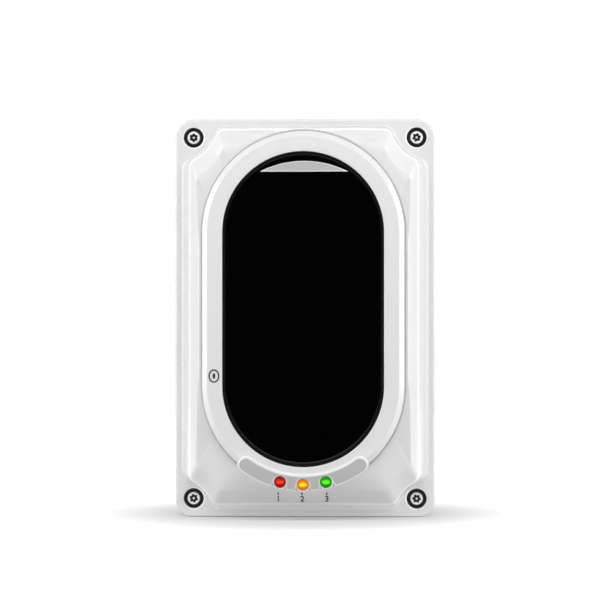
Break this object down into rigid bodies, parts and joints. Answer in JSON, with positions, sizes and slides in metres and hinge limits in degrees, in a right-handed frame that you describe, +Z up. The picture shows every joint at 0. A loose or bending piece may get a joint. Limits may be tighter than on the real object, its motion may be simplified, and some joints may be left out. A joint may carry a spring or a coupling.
{
  "type": "beam smoke detector",
  "caption": "Wall-mounted reflective beam smoke detector with a tall oval black window, status lights, and a lift-off cover over a gimballed transmitter and receiver",
  "frame": {"origin": "middle of the back box's rear face, on the wall", "axes": "+Z up along the height, +Y into the wall, so the window faces -Y, and +X to the right seen from the front"},
  "size_m": [0.13, 0.0952, 0.199],
  "materials": {
    "white_plastic": "light grey-white gloss moulding",
    "grey_plastic": "satin moulding",
    "black_plastic": "fine matt texture",
    "window_black": "polished infrared-pass plastic",
    "rubber": "soft black",
    "steel": "bright plated steel",
    "brass": "turned brass",
    "circuit_board": "green solder mask",
    "terminal_green": "green moulding",
    "lens_clear": "polished clear lens",
    "red_lens": "red light pipe",
    "amber_lens": "amber light pipe",
    "green_lens": "green light pipe",
    "lamp_white": "milky lamp"
  },
  "bodies": {
    "back_box": {"back_box": "white_plastic", "threaded_inserts": "brass", "cable_grommets": "rubber", "main_board": "circuit_board", "board_screws": "steel", "terminal_blocks": "terminal_green", "terminal_screws": "steel", "relays": "white_plastic", "capacitors": "black_plastic", "processor": "black_plastic", "driver_chips": "black_plastic", "mode_switch": "black_plastic", "upper_pivot_bracket": "steel", "lower_pivot_bracket": "steel", "bracket_screws": "steel", "pan_pins": "steel", "pan_adjuster_bracket": "steel", "indicator_posts": "steel", "indicator_board": "circuit_board", "indicator_board_screws": "steel", "indicator_lamps": "lamp_white"},
    "pan_frame": {"pan_frame": "grey_plastic", "tilt_pins": "steel"},
    "optics_head": {"optics_carrier": "grey_plastic", "transmitter_barrel": "black_plastic", "receiver_barrel": "black_plastic", "barrel_screws": "steel", "transmitter_lens": "lens_clear", "receiver_lens": "lens_clear", "lens_retainers": "grey_plastic", "transmitter_board": "circuit_board", "receiver_board": "circuit_board", "infrared_emitter": "lens_clear", "photodiode": "black_plastic", "receiver_shield": "steel"},
    "pan_wheel": {"pan_thumbwheel": "black_plastic", "pan_adjusting_screw": "steel"},
    "tilt_wheel": {"tilt_thumbwheel": "black_plastic", "tilt_adjusting_screw": "steel"},
    "front_cover": {"front_cover": "white_plastic", "cover_seal": "rubber", "window_surround": "white_plastic", "window": "window_black", "window_seal": "rubber", "window_retainer": "grey_plastic", "retainer_screws": "steel", "indicator_panel": "white_plastic", "fire_indicator": "red_lens", "fault_indicator": "amber_lens", "alignment_indicator": "green_lens", "cover_screws": "steel", "screw_seals": "rubber"},
    "mode_slider": {"mode_switch_slider": "white_plastic"}
  },
  "joints": [
    {"name": "pan", "type": "hinge", "parent": "back_box", "child": "pan_frame", "pos_m": [0, -0.046, 0.0045], "axis": [0, 0, 1], "range_deg": [-6, 6]},
    {"name": "tilt", "type": "hinge", "parent": "pan_frame", "child": "optics_head", "pos_m": [0, -0.046, 0.0045], "axis": [1, 0, 0], "range_deg": [-6, 6]},
    {"name": "pan_wheel_spin", "type": "hinge", "parent": "back_box", "child": "pan_wheel", "pos_m": [0.0475, -0.0665, 0.03], "axis": [0, -1, 0], "range_deg": [-1200, 1200]},
    {"name": "tilt_wheel_spin", "type": "hinge", "parent": "pan_frame", "child": "tilt_wheel", "pos_m": [-0.033, -0.0685, 0.07], "axis": [0, -1, 0], "range_deg": [-1650, 1650]},
    {"name": "cover_lift", "type": "slide", "parent": "back_box", "child": "front_cover", "axis": [0, -1, 0], "range_m": [0, 0.08]},
    {"name": "mode_slide", "type": "slide", "parent": "back_box", "child": "mode_slider", "axis": [0, 0, 1], "range_m": [0, 0.003]}
  ],
  "couplings": [
    {"joint": "pan_wheel_spin", "follows": "pan", "ratio": 198.97},
    {"joint": "tilt_wheel_spin", "follows": "tilt", "ratio": -274.37}
  ]
}
